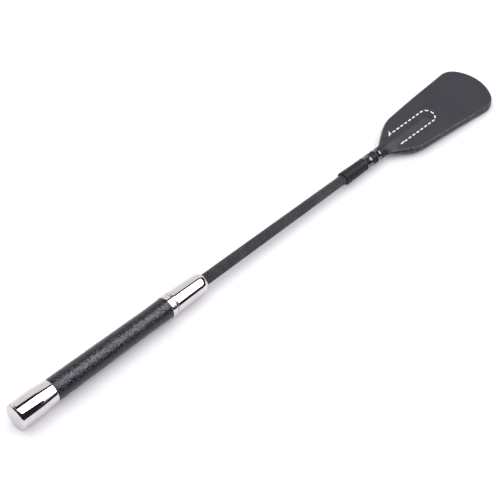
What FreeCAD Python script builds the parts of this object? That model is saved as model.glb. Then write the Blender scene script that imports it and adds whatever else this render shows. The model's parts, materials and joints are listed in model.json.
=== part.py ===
import FreeCAD, Part
import math
import os

# Riding crop: a chrome-capped leather grip, a braided tapering shaft and a two-ply leather keeper.
# Every piece is built about the crop's own axis, with X running from the butt to the keeper's tip, and
# lay_down() then sets the whole crop on the ground as it lies: ferrule ring and keeper tip touching,
# +X longest, +Z up, origin under the middle of its box. Sizes are in millimetres.

Vector = FreeCAD.Vector
ORIGIN = Vector(0, 0, 0)
X_AXIS = Vector(1, 0, 0)
Y_AXIS = Vector(0, 1, 0)
Z_AXIS = Vector(0, 0, 1)
FAR = 1000.0                      # larger than the crop, for half-space boxes

# Lengths along the crop, from the butt
cap_length = 34.0
grip_length = 110.0
rim_width = 1.7
ring_width = 4.8
ring_groove = 0.3
sleeve_length = 34.0
shaft_length = 159.8
whipping_long_length = 25.6
band_lower_length = 7.4
whipping_middle_length = 5.6
band_upper_length = 5.4
whipping_end_length = 7.0
keeper_length = 128.4

# Butt cap, a drawn metal cup
cap_radius = 10.5
cap_wall = 0.6
cap_edge_round = 2.0
cap_crimp_length = 13.0
cap_crimp = 1.3                   # how far the mouth is drawn in

# Grip: leather on a turned core
grip_radius_butt = 9.05
grip_radius_waist = 8.4
grip_radius_end = 8.65
grip_waist_from_end = 14.0
leather_wall = 1.0
tuck_length = 12.0                # leather held inside the cap
tuck_wall = 0.5
rim_radius = 8.85

# Ferrule
ring_radius = 9.4
sleeve_radius_rear = 9.25
sleeve_radius_front = 8.35
sleeve_wall = 1.1
bead_width = 1.1
bead_groove_depth = 0.3
bead_groove_width = 0.4
shoulder_length = 8.3
edge_round = 0.5                  # ring corners and keeper ply edges

# Shaft: fibreglass rod in a braided sheath
rod_radius_butt = 3.8
rod_radius_tip = 2.2
rod_start = 12.0
rod_into_keeper = 58.5            # rod length past the whipping
sheath_radius_ferrule = 4.85
sheath_radius_whipping = 4.2
sheath_in_ferrule = 27.0          # sheath length held inside the ferrule
sheath_under_whipping = 14.0
bend_clearance = 0.3              # ball to socket at each shaft bend
bend_from_ferrule = 15.0
bend_from_whipping = 24.0

# Whipping: waxed thread wound over the keeper's tails, with two lacquered bands
thread_size = 0.95
whipping_radius_start = 6.0
whipping_radius_settled = 5.6
whipping_radius_neck = 5.25
settle_length = 15.6
band_proud = 0.05
tail_setback = 0.8                # from the whipping's first turn to the tails' ends

# Keeper: two equal leather plies about the rod's tip
ply_thickness = 3.0
ply_gap = 0.2
neck_half_width = 4.8
neck_clearance = 0.3
shoulder_from_neck = 23.4
shoulder_half_width = 19.1
shoulder_round = 18.0
widest_half_width = 26.2
tip_radius = 31.0
corner_round = 12.0
ridge_radius = 4.3                # outside of the leather over the rod
flex_from_tip = 60.8
flex_clearance = 0.9
keeper_droop_deg = 2.0

# U-shaped stitching
stitch_half_gauge = 6.8
stitch_start_from_neck = 16.0
stitch_apex_from_neck = 63.6
stitch_count = 21
stitch_length = 3.0
stitch_radius = 0.45
stitch_sunk = 0.35                # depth of a stitch's centre line below the leather's face
stitch_clearance = 0.03           # between a stitch and the dent it lies in

# Stations along the axis, worked out from the lengths
leather_end = cap_length + grip_length
rim_end = leather_end + rim_width
ring_end = rim_end + ring_width
sleeve_start = ring_end + ring_groove
sleeve_end = sleeve_start + sleeve_length
whipping_start = sleeve_end + shaft_length
band_lower_start = whipping_start + whipping_long_length
whipping_middle_start = band_lower_start + band_lower_length
band_upper_start = whipping_middle_start + whipping_middle_length
whipping_end_start = band_upper_start + band_upper_length
neck = whipping_end_start + whipping_end_length
tip = neck + keeper_length
rod_tip = neck + rod_into_keeper
sheath_start = sleeve_end - sheath_in_ferrule
sheath_end = whipping_start + sheath_under_whipping
bend_lower = sleeve_end + bend_from_ferrule
bend_upper = whipping_start - bend_from_whipping
sway = (bend_lower + bend_upper) / 2
flex = tip - flex_from_tip
leather_tuck_start = cap_length - tuck_length
ply_face = ply_gap / 2 + ply_thickness
half_keeper = ply_face
core_radius_waist = grip_radius_waist - leather_wall
core_radius_end = grip_radius_end - leather_wall
core_radius_butt = cap_radius - cap_crimp - cap_wall - tuck_wall - 0.05


def between(x, x0, value0, x1, value1):
    """The value at x on the straight line from (x0, value0) to (x1, value1)."""
    return value0 + (value1 - value0) * (x - x0) / (x1 - x0)


def rod_radius(x):
    return between(x, rod_start, rod_radius_butt, rod_tip, rod_radius_tip)


def sheath_radius(x):
    return between(x, sleeve_end, sheath_radius_ferrule, whipping_start, sheath_radius_whipping)


def whipping_radius(x):
    """The outside of the winding: a first slope where it climbs over the sheath's end, then a gentle one."""
    settled = whipping_start + settle_length
    if x < settled:
        return between(x, whipping_start, whipping_radius_start, settled, whipping_radius_settled)
    return between(x, settled, whipping_radius_settled, neck, whipping_radius_neck)


def turned(first, *rest):
    """Turns a closed outline about the crop's axis.

    Points are (station, radius). An item that is a pair of points is an arc through the first to the
    second. The outline closes on its first point.
    """
    def at(point):
        return Vector(point[0], 0, point[1])

    edges = []
    here = first
    for item in rest + (first,):
        if isinstance(item[0], tuple):
            through, there = item
            edges.append(Part.Arc(at(here), at(through), at(there)).toShape())
        else:
            there = item
            if at(there).distanceToPoint(at(here)) > 1e-6:
                edges.append(Part.makeLine(at(here), at(there)))
        here = there
    solid = Part.Face(Part.Wire(edges)).revolve(ORIGIN, X_AXIS, 360)
    if solid.Volume < 0:
        solid.reverse()
    return solid


def half_space(x):
    """Everything ahead of station x."""
    return Part.makeBox(FAR, FAR, FAR, Vector(x, -FAR / 2, -FAR / 2))


# Handle

def butt_cap():
    crimp_start = cap_length - cap_crimp_length
    inner = cap_radius - cap_wall
    mouth = cap_radius - cap_crimp
    middle = cap_length - cap_crimp_length / 2
    corner = cap_edge_round * math.sqrt(0.5)
    inner_round = cap_edge_round - cap_wall
    inner_corner = inner_round * math.sqrt(0.5)
    return turned(
        (0, 0),
        (0, cap_radius - cap_edge_round),
        ((cap_edge_round - corner, cap_radius - cap_edge_round + corner), (cap_edge_round, cap_radius)),
        (crimp_start, cap_radius),
        ((middle, cap_radius - cap_crimp / 4), (cap_length, mouth)),
        (cap_length, mouth - cap_wall),
        ((middle, inner - cap_crimp / 4), (crimp_start, inner)),
        (cap_edge_round, inner),
        ((cap_edge_round - inner_corner, inner - inner_round + inner_corner), (cap_wall, inner - inner_round)),
        (cap_wall, 0),
    )


def grip_core():
    """Turned wooden core: a plug that fills the cap, the body under the leather, a nose in the ferrule."""
    plug = cap_radius - cap_wall
    plug_end = cap_length - cap_crimp_length
    waist = leather_end - grip_waist_from_end
    nose_end = sleeve_end - shoulder_length
    nose_bore_depth = sheath_start
    return turned(
        (cap_wall, 0),
        (cap_wall, plug - cap_edge_round),
        (cap_wall + cap_edge_round, plug),
        (plug_end, plug),
        (plug_end, core_radius_butt),
        (waist, core_radius_waist),
        (leather_end, core_radius_end),
        (sleeve_start + bead_width, core_radius_end),
        (nose_end, sleeve_radius_front - sleeve_wall),
        (nose_end, sheath_radius(nose_end)),
        (nose_bore_depth, sheath_radius(nose_bore_depth)),
        (nose_bore_depth, rod_radius(nose_bore_depth)),
        (rod_start, rod_radius(rod_start)),
        (rod_start, 0),
    )


def grip_leather():
    waist = leather_end - grip_waist_from_end
    tucked = core_radius_butt + tuck_wall
    bulge = cap_length + 3.0
    core_at_mouth = between(cap_length, cap_length - cap_crimp_length, core_radius_butt, waist, core_radius_waist)
    core_at_tuck = between(
        leather_tuck_start, cap_length - cap_crimp_length, core_radius_butt, waist, core_radius_waist)
    return turned(
        (leather_tuck_start, core_at_tuck),
        (leather_tuck_start, tucked),
        (cap_length + 0.1, tucked),
        ((cap_length + 0.8, grip_radius_butt - 0.12), (bulge, grip_radius_butt)),
        (waist, grip_radius_waist),
        (leather_end, grip_radius_end),
        (leather_end, core_radius_end),
        (waist, core_radius_waist),
        (cap_length, core_at_mouth),
    )


def grip_end_rim():
    """The leather's turned and stitched-down edge, standing a little proud in front of the ferrule."""
    middle = leather_end + rim_width / 2
    return turned(
        (leather_end, core_radius_end),
        (leather_end, rim_radius - edge_round),
        ((middle, rim_radius), (rim_end, rim_radius - edge_round)),
        (rim_end, core_radius_end),
    )


def ferrule_ring():
    corner = edge_round * (1 - math.sqrt(0.5))
    return turned(
        (rim_end, core_radius_end),
        (rim_end, ring_radius - edge_round),
        ((rim_end + corner, ring_radius - corner), (rim_end + edge_round, ring_radius)),
        (ring_end - edge_round, ring_radius),
        ((ring_end - corner, ring_radius - corner), (ring_end, ring_radius - edge_round)),
        (ring_end, core_radius_end),
    )


def ferrule_sleeve():
    """Drawn metal sleeve with a turned bead behind and a rounded nose that closes on the shaft."""
    bead_end = sleeve_start + bead_width
    groove_end = bead_end + bead_groove_width
    nose = sleeve_end - shoulder_length
    groove = sleeve_radius_rear - bead_groove_depth
    mouth = sheath_radius(sleeve_end)
    lip = mouth + 0.35
    drop = sleeve_radius_front - lip
    quarter = math.radians(50)
    shoulder = (nose + shoulder_length * math.sin(quarter), lip + drop * math.cos(quarter))
    inner_rear = core_radius_end
    inner_front = sleeve_radius_front - sleeve_wall
    return turned(
        (sleeve_start, inner_rear),
        (sleeve_start, sleeve_radius_rear - 0.2),
        ((sleeve_start + bead_width / 2, sleeve_radius_rear + 0.05), (bead_end, groove)),
        (groove_end, groove),
        (groove_end, sleeve_radius_rear),
        (nose, sleeve_radius_front),
        (shoulder, (sleeve_end, lip)),
        (sleeve_end, mouth),
        (nose, sheath_radius(nose)),
        (nose, inner_front),
        (sleeve_start + bead_width, inner_rear),
    )


# Shaft, in four lengths that meet as ball and socket where it bends

def ball_point(bend, radius, height):
    """The point ahead of a bend on the sphere of that radius, at this height above the axis."""
    return (bend + math.sqrt(radius * radius - height * height), height)


def rod_length(start, end):
    """A length of rod from one bend to the next; None stands for the rod's own ends."""
    if start is None:
        outline = [(rod_start, 0), (rod_start, rod_radius(rod_start))]
    else:
        socket = sheath_radius(start) + bend_clearance
        rise = rod_radius(start + socket)
        outline = [(start + socket, 0), (ball_point(start, socket, rise / 2), ball_point(start, socket, rise))]
    if end is None:
        nose = rod_tip - rod_radius_tip
        round_end = rod_radius(nose)
        slant = round_end * math.sqrt(0.5)
        outline += [(nose, round_end), ((nose + slant, slant), (nose + round_end, 0))]
    else:
        ball = sheath_radius(end)
        rise = rod_radius(end + ball)
        outline += [ball_point(end, ball, rise), (ball_point(end, ball, rise / 2), (end + ball, 0))]
    return turned(*outline)


def sheath_length(start, end):
    """A length of braided sheath from one bend to the next; None stands for the sheath's own ends."""
    if start is None:
        outline = [(sheath_start, rod_radius(sheath_start)), (sheath_start, sheath_radius(sheath_start))]
    else:
        socket = sheath_radius(start) + bend_clearance
        inner = rod_radius(start + socket)
        outer = sheath_radius(start + bend_clearance)
        middle = (inner + outer) / 2
        outline = [
            ball_point(start, socket, inner),
            (ball_point(start, socket, middle), ball_point(start, socket, outer)),
        ]
    if end is None:
        outline += [(sheath_end, sheath_radius(sheath_end)), (sheath_end, rod_radius(sheath_end))]
    else:
        ball = sheath_radius(end)
        inner = rod_radius(end + ball)
        middle = (inner + ball) / 2
        outline += [(end, ball), (ball_point(end, ball, middle), ball_point(end, ball, inner))]
    return turned(*outline)


# Whipping

def wound(start, end):
    """A winding of thread from start to end, one rounded crest for each turn."""
    turns = round((end - start) / thread_size)
    pitch = (end - start) / turns
    outline = [(start, whipping_radius(start) - thread_size), (start, whipping_radius(start) - pitch / 2)]
    for turn in range(turns):
        x0 = start + turn * pitch
        crest = (x0 + pitch / 2, whipping_radius(x0 + pitch / 2))
        outline.append((crest, (x0 + pitch, whipping_radius(x0 + pitch) - pitch / 2)))
    outline.append((end, whipping_radius(end) - thread_size))
    settled = whipping_start + settle_length
    if start < settled < end:
        outline.append((settled, whipping_radius(settled) - thread_size))
    return turned(*outline)


def lacquered_band(start, end):
    """A smooth glossy band over the winding, with softly rounded edges."""
    def outer(x):
        return whipping_radius(x) + band_proud

    soft = edge_round / 2
    return turned(
        (start, outer(start) - thread_size),
        (start, outer(start) - soft),
        (start + soft, outer(start)),
        (end - soft, outer(end)),
        (end, outer(end) - soft),
        (end, outer(end) - thread_size),
    )


# Keeper

def keeper_outline_prism(low, high):
    """The keeper's flat outline, from the neck to the tip, between two heights."""
    start = neck + neck_clearance
    centre = tip - tip_radius
    corner_x = centre + math.sqrt(tip_radius ** 2 - widest_half_width ** 2)
    shoulder_x = neck + shoulder_from_neck
    side = [
        Vector(start, neck_half_width, low),
        Vector(shoulder_x, shoulder_half_width, low),
        Vector(corner_x, widest_half_width, low),
    ]
    other = [Vector(p.x, -p.y, p.z) for p in reversed(side)]
    edges = [Part.makeLine(side[0], side[1]), Part.makeLine(side[1], side[2])]
    edges.append(Part.Arc(side[2], Vector(tip, 0, low), other[0]).toShape())
    edges += [Part.makeLine(other[0], other[1]), Part.makeLine(other[1], other[2])]
    edges.append(Part.makeLine(other[2], side[0]))
    prism = Part.Face(Part.Wire(edges)).extrude(Vector(0, 0, high - low))

    def upright(x):
        return [e for e in prism.Edges if abs(e.BoundBox.XMax - x) < 0.01 and e.BoundBox.ZLength > (high - low) / 2]

    prism = prism.makeFillet(corner_round, upright(corner_x))
    prism = prism.makeFillet(shoulder_round, upright(shoulder_x))
    outline = [e for e in prism.Edges if e.BoundBox.ZLength < 0.01 and e.BoundBox.XMax > start + 0.01]
    return prism.makeFillet(edge_round, outline)


def tail_and_ridge():
    """The leather round the rod: a skived tail under the whipping and the ridge over the rod's tip."""
    tail_start = whipping_start + tail_setback
    settled = whipping_start + settle_length
    rise = ridge_radius * math.sqrt(0.5)
    end = rod_tip + ridge_radius - rod_radius_tip
    return turned(
        (tail_start, 0),
        (tail_start, whipping_radius(tail_start) - thread_size),
        (settled, whipping_radius(settled) - thread_size),
        (neck, whipping_radius(neck) - thread_size),
        (end - ridge_radius, ridge_radius),
        ((end - ridge_radius + rise, rise), (end, 0)),
    )


def stitch_places():
    """Where the stitches lie: (x, y, heading in degrees) along the U, evenly spaced."""
    start = neck + stitch_start_from_neck
    centre = neck + stitch_apex_from_neck - stitch_half_gauge
    leg = centre - start
    bend = math.pi * stitch_half_gauge
    pitch = (2 * leg + bend) / stitch_count
    places = []
    for number in range(stitch_count):
        along = (number + 0.5) * pitch
        if along < leg:
            places.append((start + along, stitch_half_gauge, 0.0))
        elif along < leg + bend:
            turn = (along - leg) / stitch_half_gauge
            x = centre + stitch_half_gauge * math.sin(turn)
            y = stitch_half_gauge * math.cos(turn)
            places.append((x, y, -math.degrees(turn)))
        else:
            places.append((centre - (along - leg - bend), -stitch_half_gauge, 180.0))
    return places


def stitches(side, radius):
    """One thread's visible stitches on the top (side 1) or the underside (side -1) of the keeper."""
    round_start = stitch_length / 2 - stitch_radius
    half = round_start + radius
    rise = radius * math.sqrt(0.5)
    height = side * (ply_face - stitch_sunk)
    made = []
    for x, y, heading in stitch_places():
        stitch = turned(
            (-half, 0),
            ((-round_start - rise, rise), (-round_start, radius)),
            (round_start, radius),
            ((round_start + rise, rise), (half, 0)),
        )
        stitch.rotate(ORIGIN, Z_AXIS, heading)
        stitch.translate(Vector(x, y, height))
        made.append(stitch)
    return made


def keeper_ply(side):
    """One whole ply with its tail and its half of the ridge, before it is parted at the flex line."""
    low = ply_gap / 2
    blank = keeper_outline_prism(low, low + ply_thickness)
    upper = Part.makeBox(FAR, FAR, FAR, Vector(-FAR / 4, -FAR / 2, low))
    wrap = tail_and_ridge().common(upper)
    ply = blank.fuse(wrap).removeSplitter()
    if side < 0:
        ply = ply.mirror(ORIGIN, Z_AXIS)
    ply = ply.cut(rod_length(bend_upper, None)).cut(sheath_length(bend_upper, None))
    return ply.cut(Part.makeCompound(stitches(side, stitch_radius + stitch_clearance)))


def across_flex(radius):
    """A round bar across the keeper, on the flex line."""
    return Part.makeCylinder(radius, FAR, Vector(flex, -FAR / 2, 0), Y_AXIS)


def keeper_root(ply):
    return ply.cut(half_space(flex).cut(across_flex(half_keeper)))


def keeper_blade(ply):
    blade = ply.common(half_space(flex).cut(across_flex(half_keeper + flex_clearance)))
    blade.rotate(Vector(flex, 0, 0), Y_AXIS, keeper_droop_deg)
    return blade


# Laying down

def lay_angle_deg():
    """How far the nose points down when the ferrule ring and the drooping keeper tip both touch the ground.

    Both corners have the same rounding, so the ground is parallel to the line between their centres.
    """
    droop = math.radians(keeper_droop_deg)
    ring_x = ring_end - edge_round
    ring_z = edge_round - ring_radius
    reach = flex_from_tip - edge_round
    depth = half_keeper - edge_round
    tip_x = flex + reach * math.cos(droop) - depth * math.sin(droop)
    tip_z = -reach * math.sin(droop) - depth * math.cos(droop)
    return math.degrees(math.atan2(tip_z - ring_z, tip_x - ring_x))


def lay_down(pieces):
    """Turns and moves all pieces together onto the ground. Returns the move that was made."""
    turn = FreeCAD.Rotation(Y_AXIS, lay_angle_deg())
    lowest = []
    for shape in pieces.values():
        shape.Placement = FreeCAD.Placement(ORIGIN, turn).multiply(shape.Placement)
        lowest.append(shape.optimalBoundingBox(False, False))
    x_middle = (min(b.XMin for b in lowest) + max(b.XMax for b in lowest)) / 2
    ground = min(b.ZMin for b in lowest)
    move = Vector(-x_middle, 0, -ground)
    for shape in pieces.values():
        shape.translate(move)
    return FreeCAD.Placement(move, turn)


def all_pieces():
    top_ply = keeper_ply(1)
    bottom_ply = keeper_ply(-1)
    return {
        "butt_cap": butt_cap(),
        "grip_core": grip_core(),
        "grip_leather": grip_leather(),
        "grip_end_rim": grip_end_rim(),
        "ferrule_ring": ferrule_ring(),
        "ferrule_sleeve": ferrule_sleeve(),
        "rod_root": rod_length(None, bend_lower),
        "sheath_root": sheath_length(None, bend_lower),
        "rod_lower": rod_length(bend_lower, sway),
        "sheath_lower": sheath_length(bend_lower, sway),
        "rod_middle": rod_length(sway, bend_upper),
        "sheath_middle": sheath_length(sway, bend_upper),
        "rod_upper": rod_length(bend_upper, None),
        "sheath_upper": sheath_length(bend_upper, None),
        "whipping_long": wound(whipping_start, band_lower_start),
        "band_lower": lacquered_band(band_lower_start, whipping_middle_start),
        "whipping_middle": wound(whipping_middle_start, band_upper_start),
        "band_upper": lacquered_band(band_upper_start, whipping_end_start),
        "whipping_end": wound(whipping_end_start, neck),
        "keeper_top_root": keeper_root(top_ply),
        "keeper_bottom_root": keeper_root(bottom_ply),
        "stitching_top": Part.makeCompound(stitches(1, stitch_radius)),
        "stitching_underside": Part.makeCompound(stitches(-1, stitch_radius)),
        "keeper_top_blade": keeper_blade(top_ply),
        "keeper_bottom_blade": keeper_blade(bottom_ply),
    }


pieces = all_pieces()
laid = lay_down(pieces)
joint_places = {
    "bend_lower": laid.multVec(Vector(bend_lower, 0, 0)),
    "sway": laid.multVec(Vector(sway, 0, 0)),
    "bend_upper": laid.multVec(Vector(bend_upper, 0, 0)),
    "flex": laid.multVec(Vector(flex, 0, 0)),
}

os.makedirs("parts", exist_ok=True)
for name, shape in pieces.items():
    shape.exportStep("parts/" + name + ".step")
    print(name, "solids", len(shape.Solids), "volume", round(shape.Volume, 1), "valid", shape.isValid())
print("lay angle", round(lay_angle_deg(), 3))
for name, place in joint_places.items():
    print(name, [round(v, 3) for v in place])
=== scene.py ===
import bmesh
import bpy
import json
import math
from mathutils import Matrix, Quaternion, Vector
from mathutils.bvhtree import BVHTree


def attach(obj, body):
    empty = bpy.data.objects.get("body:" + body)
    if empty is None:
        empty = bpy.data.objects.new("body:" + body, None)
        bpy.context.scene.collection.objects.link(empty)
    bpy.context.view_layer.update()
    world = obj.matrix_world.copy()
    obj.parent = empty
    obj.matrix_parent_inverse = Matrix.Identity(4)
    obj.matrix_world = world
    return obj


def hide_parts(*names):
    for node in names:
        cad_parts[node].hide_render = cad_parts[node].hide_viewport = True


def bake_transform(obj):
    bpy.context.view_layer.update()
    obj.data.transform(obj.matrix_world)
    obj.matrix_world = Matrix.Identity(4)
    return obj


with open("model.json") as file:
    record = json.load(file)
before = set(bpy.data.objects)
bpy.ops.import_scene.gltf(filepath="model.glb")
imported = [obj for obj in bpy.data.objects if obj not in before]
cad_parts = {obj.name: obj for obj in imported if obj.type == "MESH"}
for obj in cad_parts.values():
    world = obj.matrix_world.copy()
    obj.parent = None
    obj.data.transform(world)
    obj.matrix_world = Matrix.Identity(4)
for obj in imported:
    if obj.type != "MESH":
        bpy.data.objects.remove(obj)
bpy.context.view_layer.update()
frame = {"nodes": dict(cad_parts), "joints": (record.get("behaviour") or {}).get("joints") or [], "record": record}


# Butt cap: a cup drawn from sheet metal, ground, polished and chromed, with a rounded edge and a flat end.
# Its mouth is drawn in a little, so that it grips the leather that is tucked inside it.

mounts = {mount["name"]: mount for mount in frame["record"]["mounts"]}
butt = Vector(mounts["butt_face"]["pos_m"])
along = -Vector(mounts["butt_face"]["axis"]).normalized()
sideways = Vector((0, 1, 0))
upwards = along.cross(sideways)
millimetres = Matrix.Scale(0.001, 4)
crop = Matrix.Translation(butt) @ Matrix((along, sideways, upwards)).transposed().to_4x4() @ millimetres
crop_from_frame = crop.inverted()


def stations(node):
    """Where a CAD node starts and ends along the crop's axis, in mm from the butt."""
    places = [(crop_from_frame @ vertex.co).x for vertex in frame["nodes"][node].data.vertices]
    return min(places), max(places)


def radius_at(node, station):
    """The outside radius of a turned CAD node at a station, felt for from well outside it."""
    mesh = frame["nodes"][node].data
    corners = [crop_from_frame @ vertex.co for vertex in mesh.vertices]
    surface = BVHTree.FromPolygons(corners, [tuple(face.vertices) for face in mesh.polygons])
    return surface.ray_cast(Vector((station, 50, 0)), Vector((0, -1, 0)))[0].y


class Value:
    """A socket whose number varies over a surface or along a path. Sums on it are written as sums."""

    def __init__(self, tree, socket):
        self.tree = tree
        self.socket = socket

    def other(self, output):
        return Value(self.tree, self.socket.node.outputs[output])

    def maths(self, operation, *terms):
        return self.tree.add("ShaderNodeMath", {"operation": operation}, dict(enumerate(terms)))

    def __add__(self, term):
        return self.maths("ADD", self, term)

    def __sub__(self, term):
        return self.maths("SUBTRACT", self, term)

    def __rsub__(self, term):
        return self.maths("SUBTRACT", term, self)

    def __mul__(self, term):
        return self.maths("MULTIPLY", self, term)

    def __truediv__(self, term):
        return self.maths("DIVIDE", self, term)

    def __rtruediv__(self, term):
        return self.maths("DIVIDE", term, self)

    def __mod__(self, term):
        return self.maths("FLOORED_MODULO", self, term)

    __radd__ = __add__
    __rmul__ = __mul__

    def sine(self):
        return self.maths("SINE", self)

    def cosine(self):
        return self.maths("COSINE", self)

    def floor(self):
        return self.maths("FLOOR", self)

    def eased(self, low, high):
        """0 below low and 1 above high, with a soft step between. high may be the smaller one."""
        settings = {"interpolation_type": "SMOOTHSTEP"}
        sockets = {"Value": self, "From Min": min(low, high), "From Max": max(low, high)}
        if high < low:
            sockets.update({"To Min": 1.0, "To Max": 0.0})
        return self.tree.add("ShaderNodeMapRange", settings, sockets)


class Tree:
    """A node tree. add() takes a node's type, its settings, and then the values or links of its sockets."""

    def __init__(self, tree):
        self.tree = tree

    def add(self, kind, settings=None, sockets=None, output=0):
        node = self.tree.nodes.new(kind)
        for name, setting in (settings or {}).items():
            setattr(node, name, setting)
        for name, given in (sockets or {}).items():
            if isinstance(given, Value):
                self.tree.links.new(given.socket, node.inputs[name])
            else:
                node.inputs[name].default_value = given
        return Value(self, node.outputs[output]) if node.outputs else None

    def mixed(self, factor, first, second):
        """One colour turning into another as factor goes from 0 to 1."""
        return self.add("ShaderNodeMix", {"data_type": "RGBA"}, {0: factor, 6: first, 7: second}, output=2)


class Finish(Tree):
    """The material of one finish, built from its nodes."""

    def __init__(self, name):
        self.material = bpy.data.materials.new(name)
        self.material.use_nodes = True
        self.material.node_tree.nodes.clear()
        super().__init__(self.material.node_tree)
        self.place = self.add("ShaderNodeTexCoord", output="Object")

    def stretched(self, x, y, z):
        """The place on the piece with each direction scaled, for a grain that runs one way."""
        return self.add("ShaderNodeMapping", None, {"Vector": self.place, "Scale": (x, y, z)})

    def noise(self, vector, scale, detail=3.0, roughness=0.55):
        sockets = {"Vector": vector, "Scale": scale, "Detail": detail, "Roughness": roughness}
        return self.add("ShaderNodeTexNoise", None, sockets)

    def kept(self, name):
        """A value that the piece's mesh carries."""
        return self.add("ShaderNodeAttribute", {"attribute_name": name}, output="Fac")

    def relief(self, height, depth, strength=1.0):
        """Bumps that stand depth metres high where height is 1."""
        return self.add("ShaderNodeBump", None, {"Height": height, "Distance": depth, "Strength": strength})

    def surfaced(self, **sockets):
        named = {name.replace("_", " "): given for name, given in sockets.items()}
        shader = self.add("ShaderNodeBsdfPrincipled", None, named)
        self.add("ShaderNodeOutputMaterial", None, {"Surface": shader})
        return self.material


def polished_chrome():
    finish = Finish("chrome")
    haze = finish.noise(finish.place, 130.0, 4.0)
    turning_marks = finish.noise(finish.stretched(9000.0, 90.0, 90.0), 1.0, 2.0)
    rubbed = finish.noise(finish.stretched(260.0, 900.0, 900.0), 1.0, 5.0, 0.7).eased(0.62, 0.8)
    return finish.surfaced(
        Base_Color=finish.mixed(haze.eased(0.3, 0.75), (0.60, 0.572, 0.580, 1), (0.67, 0.642, 0.650, 1)),
        Metallic=1.0,
        Roughness=0.02 + haze * 0.02 + rubbed * 0.03,
        Normal=finish.relief(turning_marks, 0.0000012),
    )


def arc(centre, radius, start, end, steps=10):
    """Outline points on an arc about (station, radius), angles in degrees, 0 ahead and 90 outwards."""
    points = []
    for step in range(steps + 1):
        angle = math.radians(start + (end - start) * step / steps)
        points.append((centre[0] + radius * math.cos(angle), centre[1] + radius * math.sin(angle)))
    return points


def turned(outline, around=144):
    """A closed outline of (station, radius) points turned about the crop's axis, in mm."""
    shape = bmesh.new()
    rings = []
    for x, radius in outline:
        angles = [math.tau * step / around for step in range(around)]
        rings.append([shape.verts.new((x, radius * math.cos(a), radius * math.sin(a))) for a in angles])
    for ring, following in zip(rings, rings[1:] + rings[:1]):
        for step in range(around):
            after = (step + 1) % around
            shape.faces.new((ring[step], following[step], following[after], ring[after]))
    bmesh.ops.remove_doubles(shape, verts=shape.verts, dist=0.0005)
    bmesh.ops.recalc_face_normals(shape, faces=shape.faces)
    return shape


def plain_mesh(name, shape):
    """A shape that is done with becomes a mesh."""
    mesh = bpy.data.meshes.new(name)
    shape.to_mesh(mesh)
    shape.free()
    return mesh


def put_in_scene(name, data):
    thing = bpy.data.objects.new(name, data)
    bpy.context.scene.collection.objects.link(thing)
    return thing


def laid_down(name, shape, material, crease=40.0):
    """A shape made about the crop's axis in mm becomes a piece where the crop lies."""
    mesh = plain_mesh(name, shape) if isinstance(shape, bmesh.types.BMesh) else shape
    mesh.name = name
    mesh.transform(crop)
    mesh.materials.clear()
    mesh.materials.append(material)
    mesh.shade_smooth()
    mesh.set_sharp_from_angle(angle=math.radians(crease))
    return put_in_scene(name, mesh)


chrome = polished_chrome()
cap_end = stations("butt_cap")[1]
cap_radius = radius_at("butt_cap", 12.0)
cap_mouth_radius = radius_at("butt_cap", cap_end - 0.01)
cap_wall = 0.6
cap_edge = 2.6
cap_crimp_start = cap_end - 13.0


def cap_outline():
    """The cup's section: flat end, rounded edge, straight wall, drawn-in mouth with a rolled lip."""
    outside = [(0.0, 0.0), (0.0, cap_radius - cap_edge - 0.5)]
    outside += arc((cap_edge, cap_radius - cap_edge), cap_edge, 180, 90, 16)
    outside += [(cap_edge + 0.6, cap_radius), (cap_crimp_start - 0.6, cap_radius)]
    draw = cap_radius - cap_mouth_radius
    outside += [(cap_crimp_start + 0.6, cap_radius - draw * 0.08), (cap_end - 0.9, cap_mouth_radius + 0.05)]
    lip = arc((cap_end - 0.25, cap_mouth_radius - 0.3), 0.28, 80, -60, 5)
    inside = [(cap_end - 1.0, cap_mouth_radius - cap_wall), (cap_crimp_start, cap_radius - cap_wall)]
    inside += [(cap_edge, cap_radius - cap_wall), (cap_wall, cap_radius - cap_edge), (cap_wall, 0.0)]
    return outside + lip + inside


butt_cap = laid_down("butt_cup", turned(cap_outline()), chrome)
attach(butt_cap, "handle")
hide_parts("butt_cap")


# Grip core: turned birch that fills the cap, carries the leather and holds the rod's root.
# It is all covered, so its turned shape stays as it is, in pale close-grained wood.

def turned_wood():
    finish = Finish("core_wood")
    rings = finish.add("ShaderNodeTexWave", {"bands_direction": "Z"}, {
        "Vector": finish.stretched(8.0, 90.0, 90.0), "Scale": 1.0, "Distortion": 4.0, "Detail": 3.0})
    fibres = finish.noise(finish.stretched(60.0, 2200.0, 2200.0), 1.0, 4.0)
    return finish.surfaced(
        Base_Color=finish.mixed(rings * 0.6 + fibres * 0.4, (0.50, 0.35, 0.20, 1), (0.72, 0.56, 0.36, 1)),
        Roughness=0.55 + fibres * 0.25,
        Normal=finish.relief(fibres, 0.00006),
    )


def refinished(node, material):
    """A CAD node that keeps its shape takes a new finish."""
    slots = frame["nodes"][node].data.materials
    slots.clear()
    slots.append(material)


refinished("grip_core", turned_wood())


# Grip leather: one piece of black pebble-grained goatskin, wrapped round the core and butted underneath.
# Its rear end is tucked into the cap, and it is waisted a little before the ferrule.

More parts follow.
